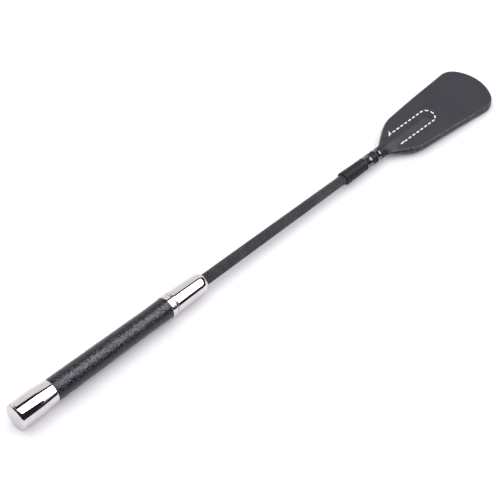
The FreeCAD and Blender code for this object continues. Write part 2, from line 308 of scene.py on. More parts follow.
class Shape(Tree):
    """A geometry tree with named sizes. grown() runs it and gives a plain mesh."""

    def __init__(self, name):
        super().__init__(bpy.data.node_groups.new(name, "GeometryNodeTree"))
        for way in ("INPUT", "OUTPUT"):
            self.tree.interface.new_socket("Geometry", in_out=way, socket_type="NodeSocketGeometry")
        self.start = self.add("NodeGroupInput")
        self.sizes = {}

    def size(self, name, value, kind="NodeSocketFloat"):
        socket = self.tree.interface.new_socket(name, in_out="INPUT", socket_type=kind)
        self.sizes[socket.identifier] = value
        return self.start.other(name)

    def count(self, name, value):
        return self.size(name, value, "NodeSocketInt")

    def at(self, x, y, z):
        return self.add("ShaderNodeCombineXYZ", None, {0: x, 1: y, 2: z})

    def keep(self, geometry, name, value):
        """Stores a value on the geometry's points, for its finish to read."""
        return self.add("GeometryNodeStoreNamedAttribute", {"data_type": "FLOAT", "domain": "POINT"}, {
            "Geometry": geometry, "Name": name, "Value": value})

    def finished(self, geometry, material):
        """Ends the tree: instances made real, then the material."""
        real = self.add("GeometryNodeRealizeInstances", None, {"Geometry": geometry})
        coated = self.add("GeometryNodeSetMaterial", None, {"Geometry": real, "Material": material})
        self.add("NodeGroupOutput", None, {"Geometry": coated})
        return self

    def grown(self, start=None):
        """Runs the tree on a start mesh or curve, or on nothing, and gives the plain mesh that it makes."""
        holder = put_in_scene(self.tree.name, start or bpy.data.meshes.new(self.tree.name))
        modifier = holder.modifiers.new("shape", "NODES")
        modifier.node_group = self.tree
        for identifier, value in self.sizes.items():
            modifier[identifier] = value
        evaluated = holder.evaluated_get(bpy.context.evaluated_depsgraph_get())
        mesh = bpy.data.meshes.new_from_object(evaluated)
        bpy.data.objects.remove(holder)
        return mesh


def grained_leather():
    finish = Finish("grip_leather")
    wander = finish.noise(finish.place, 420.0, 2.0)
    warped = finish.add("ShaderNodeVectorMath", {"operation": "MULTIPLY_ADD"}, {
        0: wander.other("Color"), 1: (0.0009, 0.0009, 0.0009), 2: finish.place})
    pebble = finish.add("ShaderNodeTexVoronoi", {"feature": "SMOOTH_F1"}, {
        "Vector": warped, "Scale": 760.0, "Smoothness": 0.3})
    fine = finish.noise(finish.place, 5200.0, 3.0)
    crest = pebble.eased(0.62, 0.12)
    rubbed = finish.noise(finish.stretched(60.0, 180.0, 180.0), 1.0, 4.0).eased(0.35, 0.85)
    shade = crest * 0.6 + rubbed * 0.4
    return finish.surfaced(
        Base_Color=finish.mixed(shade, (0.0012, 0.0011, 0.0020, 1), (0.0040, 0.0037, 0.0062, 1)),
        Roughness=0.27 - crest * 0.06 - rubbed * 0.03 + fine * 0.06,
        Specular_IOR_Level=0.48,
        Specular_Tint=(0.88, 0.86, 1.0, 1),
        Coat_Weight=0.04 + rubbed * 0.04,
        Coat_Roughness=0.26,
        Normal=finish.relief(crest * 0.8 + fine * 0.2, 0.00022, 1.0),
    )


leather_start, leather_end = stations("grip_leather")
leather_rise = 3.0
leather_shoulder = cap_end + leather_rise
leather_radius_rear = radius_at("grip_leather", leather_shoulder)
leather_radius_end = radius_at("grip_leather", leather_end - 0.01)
waist_station = leather_end - 14.0
leather_radius_waist = radius_at("grip_leather", waist_station)
leather_wall = 1.0
seam_width = 0.55
seam_depth = 0.28


def leather_radius(x):
    """The grip's outside: rounded up out of the cap, a slow taper to the waist, then a slight flare."""
    tucked = cap_mouth_radius - cap_wall - 0.05
    if x < cap_end:
        return tucked
    if x < leather_shoulder:
        rise = math.sin(math.pi / 2 * (x - cap_end) / leather_rise)
        return tucked + (leather_radius_rear - tucked) * rise
    if x < waist_station:
        share = (x - leather_shoulder) / (waist_station - leather_shoulder)
        return leather_radius_rear + (leather_radius_waist - leather_radius_rear) * share ** 1.15
    share = (x - waist_station) / (leather_end - waist_station)
    flare = share * share * (3 - 2 * share)
    return leather_radius_waist + (leather_radius_end - leather_radius_waist) * flare


def leather_tube():
    """The tube of leather before its grain is raised, finely divided, as a mesh in mm."""
    lengthwise = 300
    around = 176
    tuck_wall = 0.5
    shares = [step / lengthwise for step in range(lengthwise + 1)]
    steps = [leather_start + (leather_end - leather_start) * share for share in shares]
    outline = [(x, leather_radius(x)) for x in steps]
    outline += [(x, leather_radius(x) - leather_wall) for x in (leather_end, waist_station, leather_shoulder)]
    outline += [(x, leather_radius(leather_start) - tuck_wall) for x in (cap_end, leather_start)]
    return plain_mesh("leather_tube", turned(outline, around))


def raised_grain(material):
    """Raises pebbles on the tube along its normals, and presses in the butted seam underneath."""
    shape = Shape("raised_grain")
    pebble_size = shape.size("Pebble size", 1.5)
    pebble_height = shape.size("Pebble height", 0.12)
    swelling = shape.size("Swelling", 0.16)
    seam = shape.size("Seam width", seam_width)
    depth = shape.size("Seam depth", seam_depth)
    place = shape.add("GeometryNodeInputPosition")
    normal = shape.add("GeometryNodeInputNormal")
    pebbles = shape.add("ShaderNodeTexVoronoi", {"feature": "SMOOTH_F1"}, {
        "Vector": place, "Scale": 1 / pebble_size, "Smoothness": 0.4})
    swell = shape.add("ShaderNodeTexNoise", None, {"Vector": place, "Scale": 0.16, "Detail": 2.0})
    y = shape.add("ShaderNodeSeparateXYZ", None, {0: place}, output="Y")
    underneath = y.other("Z").eased(-6.0, -7.0)
    across = (y * y) / (seam * seam)
    groove = across.maths("EXPONENT", across * -1.0) * underneath
    lift = (0.5 - pebbles) * pebble_height + (swell - 0.5) * swelling - groove * depth
    outside = shape.add("ShaderNodeVectorMath", {"operation": "SCALE"}, {0: normal, "Scale": lift})
    moved = shape.add("GeometryNodeSetPosition", None, {"Geometry": shape.start, "Offset": outside})
    return shape.finished(moved, material)


black_leather = grained_leather()
cover = raised_grain(black_leather).grown(leather_tube())
grip_leather = laid_down("grip_cover", cover, black_leather, 60.0)
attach(grip_leather, "handle")
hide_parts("grip_leather")


# Grip end rim: the leather's front edge, turned over, pressed and painted black, so it is smooth and glossy.
# It stands a little proud of the leather behind it, against the ferrule ring.

def painted_edge():
    finish = Finish("rim_leather")
    brushed = finish.noise(finish.stretched(700.0, 260.0, 260.0), 1.0, 4.0)
    return finish.surfaced(
        Base_Color=finish.mixed(brushed.eased(0.3, 0.7), (0.004, 0.004, 0.006, 1), (0.012, 0.011, 0.014, 1)),
        Roughness=0.18 + brushed * 0.16,
        Coat_Weight=0.4 + brushed * 0.2,
        Coat_Roughness=0.12,
        Normal=finish.relief(brushed, 0.00004, 0.6),
    )


rim_start, rim_end = stations("grip_end_rim")
rim_radius = radius_at("grip_end_rim", (rim_start + rim_end) / 2)
rim_round = 0.75


def rim_outline():
    outline = [(rim_start, rim_radius - 1.6), (rim_start, rim_radius - rim_round - 0.1)]
    outline += arc((rim_start + rim_round, rim_radius - rim_round), rim_round, 180, 90, 8)
    outline += arc((rim_end - rim_round, rim_radius - rim_round), rim_round, 90, 0, 8)
    return outline + [(rim_end, rim_radius - 1.6)]


rim = laid_down("turned_edge", turned(rim_outline()), painted_edge())
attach(rim, "handle")
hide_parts("grip_end_rim")


# Ferrule ring: a narrow ring parted from tube, polished and chromed, with its corners eased.
# It is pushed on ahead of the turned leather edge and hides the end of the core.

ring_start, ring_end = stations("ferrule_ring")
ring_radius = radius_at("ferrule_ring", (ring_start + ring_end) / 2)
ring_wall = 1.2
ring_corner = 0.5


def ring_outline():
    outline = [(ring_start, ring_radius - ring_wall)]
    outline += arc((ring_start + ring_corner, ring_radius - ring_corner), ring_corner, 180, 90, 8)
    outline += [(ring_start + ring_corner + 0.3, ring_radius), (ring_end - ring_corner - 0.3, ring_radius)]
    outline += arc((ring_end - ring_corner, ring_radius - ring_corner), ring_corner, 90, 0, 8)
    return outline + [(ring_end, ring_radius - ring_wall)]


ring = laid_down("ring", turned(ring_outline()), chrome)
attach(ring, "handle")
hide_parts("ferrule_ring")


# Ferrule sleeve: drawn tube, with a turned bead and groove behind, and a nose spun in on the shaft.
# It holds the root of the rod and its braid, and is polished and chromed like the cap.

sleeve_start, sleeve_end = stations("ferrule_sleeve")
sleeve_radius_rear = radius_at("ferrule_sleeve", sleeve_start + 1.6)
sleeve_shoulder = sleeve_end - 8.3
sleeve_radius_front = radius_at("ferrule_sleeve", sleeve_shoulder)
braid_radius_ferrule = radius_at("sheath_root", sleeve_end - 0.01)
bead_width = 1.1
bead_groove = 0.3
groove_width = 0.4


def sleeve_outline():
    bead = bead_width / 2
    outline = [(sleeve_start, sleeve_radius_rear - 1.1)]
    outline += arc((sleeve_start + bead, sleeve_radius_rear - bead), bead, 180, 20, 12)
    bottom = sleeve_radius_rear - bead_groove
    step = sleeve_start + bead_width + groove_width
    outline += [(sleeve_start + bead_width + 0.05, bottom), (step, bottom)]
    outline += arc((step + 0.25, sleeve_radius_rear - 0.25), 0.25, 180, 90, 5)
    outline += [(step + 0.6, sleeve_radius_rear - 0.01), (sleeve_shoulder - 0.8, sleeve_radius_front + 0.03)]
    lip = braid_radius_ferrule + 0.55
    nose_length = sleeve_end - 0.35 - sleeve_shoulder
    for step in range(25):
        angle = math.radians(90 * step / 24)
        x = sleeve_shoulder + nose_length * math.sin(angle) ** 0.8
        outline.append((x, lip + (sleeve_radius_front - lip) * max(0.0, math.cos(angle)) ** 0.8))
    outline += arc((sleeve_end - 0.35, lip - 0.35), 0.35, 80, -80, 6)
    outline += [(sleeve_shoulder, braid_radius_ferrule + 0.1), (sleeve_start + 2.0, sleeve_radius_rear - 1.1)]
    return outline


sleeve = laid_down("sleeve", turned(sleeve_outline()), chrome)
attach(sleeve, "handle")
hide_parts("ferrule_sleeve")


# Rod: pultruded fibreglass, ground to a taper, which gives the crop its spring.
# It is hidden by the braid and the keeper, so its four lengths stay as turned, in streaky pale glass.

def ground_fibreglass():
    finish = Finish("fibreglass")
    rovings = finish.noise(finish.stretched(30.0, 3200.0, 3200.0), 1.0, 3.0)
    return finish.surfaced(
        Base_Color=finish.mixed(rovings.eased(0.3, 0.7), (0.42, 0.44, 0.36, 1), (0.66, 0.67, 0.58, 1)),
        Roughness=0.32 + rovings * 0.2,
        Normal=finish.relief(rovings, 0.00003),
    )


fibreglass = ground_fibreglass()
for length in ("rod_root", "rod_lower", "rod_middle", "rod_upper"):
    refinished(length, fibreglass)


# Braided sheath: thirty-six waxed black threads, eighteen laid each way, each over two and under two.
# It is braided straight on to the rod, so it tapers with it.

def twisted_plies(finish, twist_per_mm):
    """How far the plies of a twisted thread stand out: they run round it as it goes along."""
    phase = finish.kept("thread_along") * (math.tau * twist_per_mm)
    round_it = phase.sine() * finish.kept("thread_cosine") + phase.cosine() * finish.kept("thread_sine")
    return 0.5 + 0.5 * round_it


def waxed_thread(name, dark, light, twist_per_mm, shine, crossing):
    """Twisted thread with a little fluff and wax. Its colour has painted shade where threads dive under at
    crossings and between the twisted plies.
    """
    finish = Finish(name)
    plies = twisted_plies(finish, twist_per_mm)
    crest = finish.kept("thread_crest") if crossing else 0.5
    fluff = finish.noise(finish.place, 4200.0, 3.0)
    patches = finish.noise(finish.place, 160.0, 3.0)
    # Painted shade and highlight: the colour is darkened where a thread dives under at a crossing and lightened on
    # the crests of its twisted plies.
    lit = (plies * 0.3 + fluff * 0.3 + patches.eased(0.35, 0.7) * 0.4) * crest
    return finish.surfaced(
        Base_Color=finish.mixed(lit, dark, light),
        Roughness=shine + 0.22 * fluff + 0.35 * (1 - crest),
        Specular_IOR_Level=0.30,
        Specular_Tint=(0.88, 0.86, 1.0, 1),
        Coat_Weight=crest * 0.55,
        Coat_Roughness=0.22,
        Normal=finish.relief(plies * 0.6 + fluff * 0.4, 0.00009, 0.8),
    )


def threaded(shape, path, radius, sides):
    """Sweeps a round thread along a path, and keeps for its finish how far along and how far round it is."""
    far = shape.add("GeometryNodeSplineParameter", output="Length")
    path = shape.keep(path, "thread_along", far)
    section = shape.add("GeometryNodeCurvePrimitiveCircle", {"mode": "RADIUS"}, {
        "Resolution": sides, "Radius": radius})
    turn = shape.add("GeometryNodeSplineParameter", output="Factor") * math.tau
    section = shape.keep(section, "thread_sine", turn.sine())
    section = shape.keep(section, "thread_cosine", turn.cosine())
    return shape.add("GeometryNodeCurveToMesh", None, {
        "Curve": path, "Profile Curve": section, "Fill Caps": True})


braid_material = waxed_thread("braid", (0.003, 0.003, 0.004, 1), (0.060, 0.059, 0.064, 1), 0.8, 0.22, True)
braid_start = sleeve_end - 3.0
braid_end = stations("sheath_upper")[1]
whipping_start = stations("whipping_long")[0]
braid_radius_whipping = radius_at("sheath_upper", braid_end - 0.01)
joints = {joint["name"]: joint for joint in frame["joints"]}
bends = [(crop_from_frame @ Vector(joints[name]["pos_m"])).x
         for name in ("shaft_bend_lower", "shaft_sway", "shaft_bend_upper")]
braid_lay = 52.0
threads_each_way = 18
braid_thread_radius = 0.44
braid_rise = 0.38
lining_depth = braid_thread_radius * 2 + 0.32
lining_wall = 0.25
bend_reach = 13.0
braid_wander = 0.012
braid_unevenness = 0.10


def braid_radius(x):
    """The outside of the braid, which is an even taper."""
    share = (x - sleeve_end) / (braid_end - sleeve_end)
    return braid_radius_ferrule + (braid_radius_whipping - braid_radius_ferrule) * share


def braided(first, last):
    """The length of braid between two stations. Every thread is where it is in the whole braid."""
    shape = Shape("braid")
    start = shape.size("Start", first)
    end = shape.size("End", last)
    radius_start = shape.size("Radius at start", braid_radius(first))
    radius_end = shape.size("Radius at end", braid_radius(last))
    lay = shape.size("Lay", braid_lay)
    rise = shape.size("Rise", braid_rise)
    thread = shape.size("Thread radius", braid_thread_radius)
    each_way = shape.count("Threads each way", threads_each_way)
    line = shape.add("GeometryNodeCurvePrimitiveLine", {"mode": "POINTS"}, {"End": (1, 0, 0)})
    line = shape.add("GeometryNodeResampleCurve", None, {"Curve": line, "Count": round((last - first) / 0.7)})
    copies = shape.add("GeometryNodeDuplicateElements", {"domain": "SPLINE"}, {
        "Geometry": line, "Amount": each_way * 2})
    index = copies.other("Duplicate Index")
    way = 1 - 2 * (index % 2)
    number = (index / 2).floor()
    share = shape.add("GeometryNodeSplineParameter", output="Factor")
    x = start + share * (end - start)
    turns = x / lay
    crossings = turns * each_way * 2
    over = (math.pi / 2 * (2 * number + way * crossings) + math.pi / 4).sine()
    over = over.maths("TANH", over * 1.7) * way
    wander = shape.add("ShaderNodeTexNoise", {"noise_dimensions": "4D"}, {
        "Vector": shape.at(x, 0.0, 0.0), "W": index * 7.31, "Scale": 0.22, "Detail": 1.0})
    angle = math.tau * (number / each_way + way * turns + (wander - 0.5) * braid_wander)
    outside = radius_start + share * (radius_end - radius_start) - thread
    radius = outside - rise + over * rise + (wander - 0.5) * braid_unevenness
    path = shape.add("GeometryNodeSetPosition", None, {
        "Geometry": copies, "Position": shape.at(x, radius * angle.cosine(), radius * angle.sine())})
    # thread_crest is 1 where a thread rides over and 0 where it dives under; the thread's finish darkens the
    # colour with it, as painted shade.
    path = shape.keep(path, "thread_crest", over.eased(-0.2, 0.9))
    return shape.finished(threaded(shape, path, thread, 6), braid_material).grown()


def braid_length(name, first, last, bend):
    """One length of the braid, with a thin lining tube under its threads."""
    rows = round((last - first) / 1.5)
    steps = [first + (last - first) * n / rows for n in range(rows + 1)]
    outer = [(x, braid_radius(x) - lining_depth) for x in steps]
    inner = [(x, radius - lining_wall) for x, radius in reversed(outer)]
    shape = turned(outer + inner, 40)
    shape.from_mesh(braided(first, last))
    piece = laid_down(name, shape, braid_material, 70.0)
    reach = min(bend - first, last - bend, bend_reach)
    crop @ Vector((bend - reach, 0, 0))
    crop @ Vector((bend + reach, 0, 0))
    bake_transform(piece)
    return piece


partings = [(bends[0] + bends[1]) / 2, (bends[1] + bends[2]) / 2]
braid_under_whipping = whipping_start + 4.0
braid_lower = braid_length("braid_lower", braid_start, partings[0], bends[0])
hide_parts("sheath_root", "sheath_lower")
braid_middle = braid_length("braid_middle", partings[0], partings[1], bends[1])
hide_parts("sheath_middle")
braid_upper = braid_length(
    "braid_upper", partings[1], braid_under_whipping, bends[2])
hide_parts("sheath_upper")


# Whipping: waxed linen thread wound tight over the keeper's tails and the end of the braid.
# It climbs a little over the braid's end, and it is wound in three runs that two lacquered bands part.

whipping_thread = waxed_thread(
    "whipping_thread", (0.002, 0.002, 0.003, 1), (0.020, 0.020, 0.025, 1), 1.3, 0.24, False)
winding_pitch = 2.0
turn_unevenness = 0.26
turn_wander = 0.18
neck = stations("whipping_end")[1]
whipping_radius_start = 6.0
whipping_radius_settled = 5.6
whipping_radius_neck = 5.25
settled = whipping_start + 15.6


def whipping_radius(x):
    """The outside of the winding: it drops off the braid's end, then follows the leather tails."""
    if x < settled:
        share = (x - whipping_start) / (settled - whipping_start)
        return whipping_radius_start + (whipping_radius_settled - whipping_radius_start) * share
    share = (x - settled) / (neck - settled)
    return whipping_radius_settled + (whipping_radius_neck - whipping_radius_settled) * share


def wound(first, last, material):
    """A winding between two stations: one thread in a close helix, each turn lying a little differently."""
    turn_count = round((last - first) / winding_pitch)
    shape = Shape("winding")
    start = shape.size("Start", first)
    end = shape.size("End", last)
    radius_start = shape.size("Radius at start", whipping_radius(first + 0.01))
    radius_middle = shape.size("Radius halfway", whipping_radius((first + last) / 2))
    radius_end = shape.size("Radius at end", whipping_radius(last))
    turns = shape.size("Turns", turn_count - 1.0)
    thread = shape.size("Thread radius", winding_pitch / 2)
    line = shape.add("GeometryNodeCurvePrimitiveLine", {"mode": "POINTS"}, {"End": (1, 0, 0)})
    line = shape.add("GeometryNodeResampleCurve", None, {"Curve": line, "Count": turn_count * 36})
    share = shape.add("GeometryNodeSplineParameter", output="Factor")
    x = start + thread + share * (end - start - 2 * thread)
    angle = share * turns * math.tau
    first_half = share.maths("MINIMUM", share * 2, 1.0)
    second_half = share.maths("MAXIMUM", share * 2 - 1, 0.0)
    outside = radius_start + first_half * (radius_middle - radius_start)
    outside = outside + second_half * (radius_end - radius_middle)
    lie = shape.add("ShaderNodeTexNoise", None, {
        "Vector": shape.at(x * 1.4, angle.cosine() * 0.6, angle.sine() * 0.6), "Scale": 0.8, "Detail": 1.0})
    radius = outside - thread + (lie - 0.5) * turn_unevenness
    place = shape.at(x + (lie - 0.5) * turn_wander, radius * angle.cosine(), radius * angle.sine())
    path = shape.add("GeometryNodeSetPosition", None, {"Geometry": line, "Position": place})
    return shape.finished(threaded(shape, path, thread * 0.90, 12), material).grown()


for node, name in (("whipping_long", "winding_long"), ("whipping_middle", "winding_middle"),
                   ("whipping_end", "winding_end")):
    winding = laid_down(name, wound(*stations(node), whipping_thread), whipping_thread, 70.0)
    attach(winding, "shaft_upper")
    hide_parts(node)


# Lacquered bands: two narrow bands of patent tape over the winding, drawn tight, edges rolled and shiny.
# Coats of clear black lacquer leave them glossy, with the turns below just showing through.

def black_lacquer():
    finish = Finish("lacquer")
    flow = finish.noise(finish.place, 480.0, 3.0)
    turns = finish.noise(finish.stretched(1050.0, 120.0, 120.0), 1.0, 1.0)
    return finish.surfaced(
        Base_Color=finish.mixed(flow, (0.003, 0.003, 0.005, 1), (0.014, 0.014, 0.018, 1)),
        Roughness=0.10 + flow * 0.12,
        Coat_Weight=1.0,
        Coat_Roughness=0.03,
        Normal=finish.relief(flow * 0.6 + turns * 0.4, 0.00012, 0.7),
    )


lacquer = black_lacquer()
band_proud = 0.16
band_edge = 0.42


def band_outline(first, last):
    """A band's section: rolled edges that stand up a little, and a shallow dip between them."""
    low, high = whipping_radius(first), whipping_radius(last)
    outline = [(first, low - 1.0)]
    outline += arc((first + band_edge, low + band_proud - band_edge), band_edge, 180, 70, 7)
    for step in range(1, 12):
        share = step / 12
        dip = 0.16 * math.sin(math.pi * share) ** 0.5
        outline.append((first + band_edge + share * (last - first - 2 * band_edge),
                        low + (high - low) * share + band_proud - dip))
    outline += arc((last - band_edge, high + band_proud - band_edge), band_edge, 110, 0, 7)
    return outline + [(last, high - 1.0)]


for node, name in (("band_lower", "lacquered_band_lower"), ("band_upper", "lacquered_band_upper")):
    band = laid_down(name, turned(band_outline(*stations(node)), 96), lacquer)
    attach(band, "shaft_upper")
    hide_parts(node)


# Keeper: two equal plies of smooth harness leather, cut out with a rounded tip, edges sanded and dyed.
# Their skived tails are bound under the whipping, and they close over the rod's tip, which shows as a ridge.

def harness_leather():
    finish = Finish("keeper_leather")
    edge = finish.kept("edge")
    pores = finish.noise(finish.place, 2600.0, 4.0, 0.6)
    grain = finish.add("ShaderNodeTexVoronoi", {"feature": "SMOOTH_F1"}, {
        "Vector": finish.place, "Scale": 1900.0, "Smoothness": 0.5})
    cloud = finish.noise(finish.place, 36.0, 4.0)
    scuffs = finish.noise(finish.stretched(90.0, 700.0, 90.0), 1.0, 5.0, 0.7).eased(0.60, 0.82)
    # Near the cut edges the colour is lighter: part wear, part painted highlight of light catching the rims.
    worn_and_rim_lit = edge * finish.noise(finish.place, 420.0, 4.0, 0.7).eased(0.32, 0.7)
    body = finish.mixed(cloud.eased(0.3, 0.7), (0.0125, 0.0114, 0.0195, 1), (0.0170, 0.0157, 0.0250, 1))
    scuffed = finish.mixed(scuffs * 0.35, body, (0.042, 0.039, 0.052, 1))
    return finish.surfaced(
        Base_Color=finish.mixed(worn_and_rim_lit * 0.9, scuffed, (0.115, 0.111, 0.123, 1)),
        Roughness=0.50 + pores * 0.10 + edge * 0.15 + scuffs * 0.05,
        Specular_IOR_Level=0.36,
        Normal=finish.relief(pores * 0.5 + grain * 0.5, 0.00005, 0.55),
    )


keeper_leather = harness_leather()
tip = stations("keeper_top_blade")[1]
flex = (crop_from_frame @ Vector(joints["keeper_flex"]["pos_m"])).x
rod_tip = stations("rod_upper")[1]
ply_thickness = 3.0
ply_gap = 0.2
ply_face = ply_gap / 2 + ply_thickness
keeper_droop = math.radians(2.0)
neck_half_width = 4.8
shoulder = Vector((neck + 23.4, 19.1))
widest = 26.2
tip_radius = 31.0
shoulder_round = 36.0
corner_round = 17.0
soft_bend = 6.0
ridge_at_neck = 1.4
ridge_growth = 0.8
ridge_half_width = 6.2
outer_round = 0.75
inner_round = 0.35
overhang_reach = 6.0
# How far in from the cut edge the wear and the painted rim highlight reach.
rim_light_and_wear_reach = 1.5


def rounded_corner(before, corner, after, radius, steps):
    """Points round a corner of an outline, on an arc of that radius that touches both of its sides."""
    back = (before - corner).normalized()
    ahead = (after - corner).normalized()
    half = back.angle(ahead) / 2
    centre = corner + (back + ahead).normalized() * (radius / math.sin(half))
    first = corner + back * (radius / math.tan(half)) - centre
    last = corner + ahead * (radius / math.tan(half)) - centre
    sweep = first.angle_signed(last)
    points = []
    for step in range(steps + 1):
        turn = -sweep * step / steps
        c, s = math.cos(turn), math.sin(turn)
        points.append(centre + Vector((first.x * c - first.y * s, first.x * s + first.y * c)))
    return points


def keeper_side(spacing=0.75):
    """One side of the keeper's outline from the neck to the tip, evenly spaced."""
    tip_centre = Vector((tip_station - tip_radius, 0))
    corner = Vector((tip_centre.x + math.sqrt(tip_radius ** 2 - widest ** 2), widest))
    start = Vector((neck + 0.3, neck_half_width))
    rough = [start]
    rough += rounded_corner(start, shoulder, corner, shoulder_round, 24)
    ahead = (corner - shoulder).normalized()
    inwards = Vector((ahead.y, -ahead.x))
    depth = (tip_centre - shoulder).dot(inwards) - corner_round
    centre = tip_centre - inwards * depth + ahead * math.sqrt((tip_radius - corner_round) ** 2 - depth ** 2)
    side_angle = math.degrees(math.atan2(-inwards.y, -inwards.x))
    tip_angle = math.degrees(math.atan2(centre.y, centre.x - tip_centre.x))
    rough += [Vector(place) for place in arc(centre, corner_round, side_angle, tip_angle, 24)]
    rough += [Vector(place) for place in arc(tip_centre, tip_radius, tip_angle, 0.0, 40)[1:]]
    lengths = [0.0]
    for one, two in zip(rough, rough[1:]):
        lengths.append(lengths[-1] + (two - one).length)
    count = round(lengths[-1] / spacing)
    points, segment = [], 0
    for step in range(count + 1):
        far = lengths[-1] * step / count
        while segment < len(rough) - 2 and lengths[segment + 1] < far:
            segment += 1
        share = (far - lengths[segment]) / (lengths[segment + 1] - lengths[segment])
        points.append(rough[segment].lerp(rough[segment + 1], share))
    return points


tip_station = flex + (tip - flex) / math.cos(keeper_droop)
stitch_half_gauge = 6.8
stitch_start = neck + 16.0
stitch_apex = neck + 63.6
stitch_count = 21
stitch_length = 2.35
stitch_radius = 0.60


def smooth(value, low, high):
    """0 at low, 1 at high, and an S between."""
    share = min(1.0, max(0.0, (value - low) / (high - low)))
    return share * share * (3 - 2 * share)


def from_stitching(x, y):
    """How far a place on the keeper is from the U that the stitching follows."""
    centre = stitch_apex - stitch_half_gauge
    if x < centre:
        behind = max(0.0, stitch_start - x)
        return math.hypot(abs(abs(y) - stitch_half_gauge), behind)
    return abs(math.hypot(x - centre, y) - stitch_half_gauge)


def rod_ridge(x, y):
    """How far the leather rises over the rod: a rounded ridge that dies away just past the rod's tip."""
    height = ridge_at_neck + ridge_growth * smooth(x, neck, neck + 14.0)
    height *= 1 - smooth(x, rod_tip - 6.0, rod_tip + 4.0)
    share = min(1.0, abs(y) / ridge_half_width)
    return height * (1 - share * share) ** 1.5


def wave(x, y):
    """The slow unevenness of a hide, within a tenth of a millimetre."""
    return 0.09 * math.sin(x / 9.0 + y / 13.0) + 0.06 * math.sin(y / 7.0 - x / 21.0 + 1.0)


def parted(x, out):
    """How far a ply's free edge has opened near the neck, where out is 1 at the edge and 0 at the spine."""
    return 0.55 * smooth(x, neck, neck + 8.0) * (1 - smooth(x, neck + 14.0, neck + 30.0)) * out ** 3


def ply_face_height(x, y, half_width):
    """The outer face of a ply above the keeper's middle plane."""
    out = abs(y) / half_width
    wrapped = 1 - smooth(x, neck, neck + 19.0)
    rounded_off = wrapped * 2.4 * out ** 2.2
    groove = 0.30 * math.exp(-(from_stitching(x, y) / 0.95) ** 2)
    uneven = wave(x, y) * smooth(x, neck, neck + 20)
    return ply_face + rod_ridge(x, y) + uneven - rounded_off + parted(x, out) - groove


def ply_inner_height(x, y, half_width):
    """The inner face of a ply, which parts from the other one near the neck."""
    return ply_gap / 2 + parted(x, abs(y) / half_width)


def drooped(x, z):
    """The keeper sags a little past the rod's tip: a place ahead of the flex line turns down about it."""
    share = smooth(x, flex - soft_bend, flex + soft_bend)
    angle = -keeper_droop * share
    c, s = math.cos(angle), math.sin(angle)
    return flex + (x - flex) * c - z * s, (x - flex) * s + z * c


def rounding(distance, radius):
    """How far a rounded edge falls away, at a distance in from the edge."""
    if distance >= radius:
        return 0.0
    return radius - math.sqrt(max(0.0, radius ** 2 - (radius - distance) ** 2))


def ply(side, overhang):
    """One whole ply in mm: side 1 is the top one and -1 the bottom, overhang is how far its edge is out."""
    spine_end = tip_station - tip_radius
    edge_rows = [0.0, 0.12, 0.3, 0.55, 0.9]
    inner_rows = 40
    shape = bmesh.new()
    # Each corner keeps how near it is to the cut edge, for the edge wear and the painted rim highlight.
    worn_and_rim_lit = shape.verts.layers.float.new("edge")

    def corner_at(place, wear_and_rim_light):
        vertex = shape.verts.new(place)
        vertex[worn_and_rim_lit] = wear_and_rim_light
        return vertex

    def section(point, hand):
        """The ply's closed section from the spine out to one outline point, down the cut edge, and back."""
        foot = Vector((min(point.x, spine_end), 0.0))
        length = (point - foot).length
        outward = (point - foot).normalized()
        distances = edge_rows + [0.9 + (length - 0.9) * (n / inner_rows) for n in range(1, inner_rows + 1)]
        upper, lower, wall = [], [], []
        for distance in distances:
            place = point - outward * distance
            y = min(abs(place.y), length)
            outer = ply_face_height(place.x, y, length)
            inner = ply_inner_height(place.x, y, length)
            outer -= rounding(distance, min(outer_round, (outer - inner) * 0.42))
            inner += rounding(distance, inner_round)
            spot = place + outward * (overhang * (1 - smooth(distance, 0.0, overhang_reach)))
            for row, height in ((upper, outer), (lower, inner)):
                x, z = drooped(spot.x, side * height)
                row.append(corner_at((x, spot.y * hand, z), 1 - smooth(distance, 0.0, rim_light_and_wear_reach)))
        bulge = Vector((outward.x, outward.y * hand, 0)) * 0.10
        for share in (0.33, 0.67):
            wall.append(corner_at(upper[0].co.lerp(lower[0].co, share) + bulge, 0.8))
        return list(reversed(upper)) + wall + lower

    outline = keeper_side()
    for hand in (1, -1):
        sections = [section(point, hand) for point in outline]
        for one, following in zip(sections, sections[1:]):
            for corners in zip(one, one[1:], following[1:], following):
                shape.faces.new(corners)
    bmesh.ops.remove_doubles(shape, verts=shape.verts, dist=0.002)
    open_edges = [edge for edge in shape.edges if edge.is_boundary]
    bmesh.ops.holes_fill(shape, edges=open_edges, sides=0)
    bmesh.ops.dissolve_degenerate(shape, edges=shape.edges, dist=0.0005)
    bmesh.ops.recalc_face_normals(shape, faces=shape.faces)
    return shape


def tail(side):
    """The skived end of a ply, half round, which lies on the braid under the whipping."""
    shape = bmesh.new()
    steps, around = 24, 20
    start = whipping_start + 0.8
    rings = []
    for step in range(steps + 1):
        x = start + (neck + 1.2 - start) * step / steps
        outer = whipping_radius(min(x, neck)) - 1.05
        ring = []
        for turn in range(around + 1):
            angle = math.pi * turn / around
            height = side * (0.05 + outer * math.sin(angle))
            ring.append(shape.verts.new((x, outer * math.cos(angle), height)))
        rings.append(ring)
    for ring, following in zip(rings, rings[1:]):
        for turn in range(around):
            shape.faces.new((ring[turn], ring[turn + 1], following[turn + 1], following[turn]))
        shape.faces.new((ring[-1], ring[0], following[0], following[-1]))
    shape.faces.new(rings[0])
    shape.faces.new(rings[-1])
    bmesh.ops.recalc_face_normals(shape, faces=shape.faces)
    return plain_mesh("tail", shape)


def across_flex(piece):
    """Bakes the piece's placing into its mesh."""
    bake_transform(piece)


